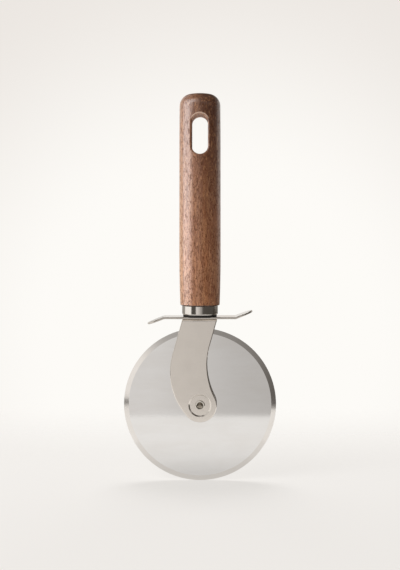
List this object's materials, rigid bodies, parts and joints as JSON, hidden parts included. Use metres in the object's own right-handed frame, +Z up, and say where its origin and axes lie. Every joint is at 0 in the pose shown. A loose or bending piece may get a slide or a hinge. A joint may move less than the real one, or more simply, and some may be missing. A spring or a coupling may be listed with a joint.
{
  "type": "pizza cutter",
  "caption": "Rolling pizza cutter: polished round blade in a curved two-arm yoke, swept finger guard, steel ferrule and turned wooden handle with a hanging slot.",
  "frame": {"origin": "the wheel's lowest point, in the middle of its thickness, which is the bottom centre of the object's box", "axes": "+Z up the handle's axis, +Y along the wheel's axle from the front (the rivet's rolled rim) to the rear, +X to the right seen from the front"},
  "size_m": [0.0885, 0.024, 0.225],
  "materials": {
    "walnut": "oiled satin, turned",
    "brass": "machined",
    "ferrule_steel": "polished stainless",
    "guard_steel": "polished stainless",
    "yoke_steel": "polished stainless, pressed",
    "blade_steel": "polished stainless, ground edge",
    "rivet_steel": "polished stainless",
    "fastener_steel": "plain stainless",
    "washer_steel": "plain stainless",
    "black_gasket": "matt moulded",
    "hub_nylon": "moulded, satin"
  },
  "bodies": {
    "frame": {"handle": "walnut", "handle_insert": "brass", "ferrule": "ferrule_steel", "neck_gasket": "black_gasket", "finger_guard": "guard_steel", "yoke": "yoke_steel", "handle_screw": "fastener_steel", "spring_washer": "fastener_steel", "axle_rivet": "rivet_steel", "axle_sleeve": "fastener_steel", "front_thrust_washer": "washer_steel", "rear_thrust_washer": "washer_steel"},
    "wheel": {"cutting_wheel": "blade_steel", "front_hub_half": "hub_nylon", "rear_hub_half": "hub_nylon"}
  },
  "joints": [
    {"name": "wheel_spin", "type": "hinge", "parent": "frame", "child": "wheel", "pos_m": [0, 0, 0.04425], "axis": [0, 1, 0], "continuous": true}
  ]
}
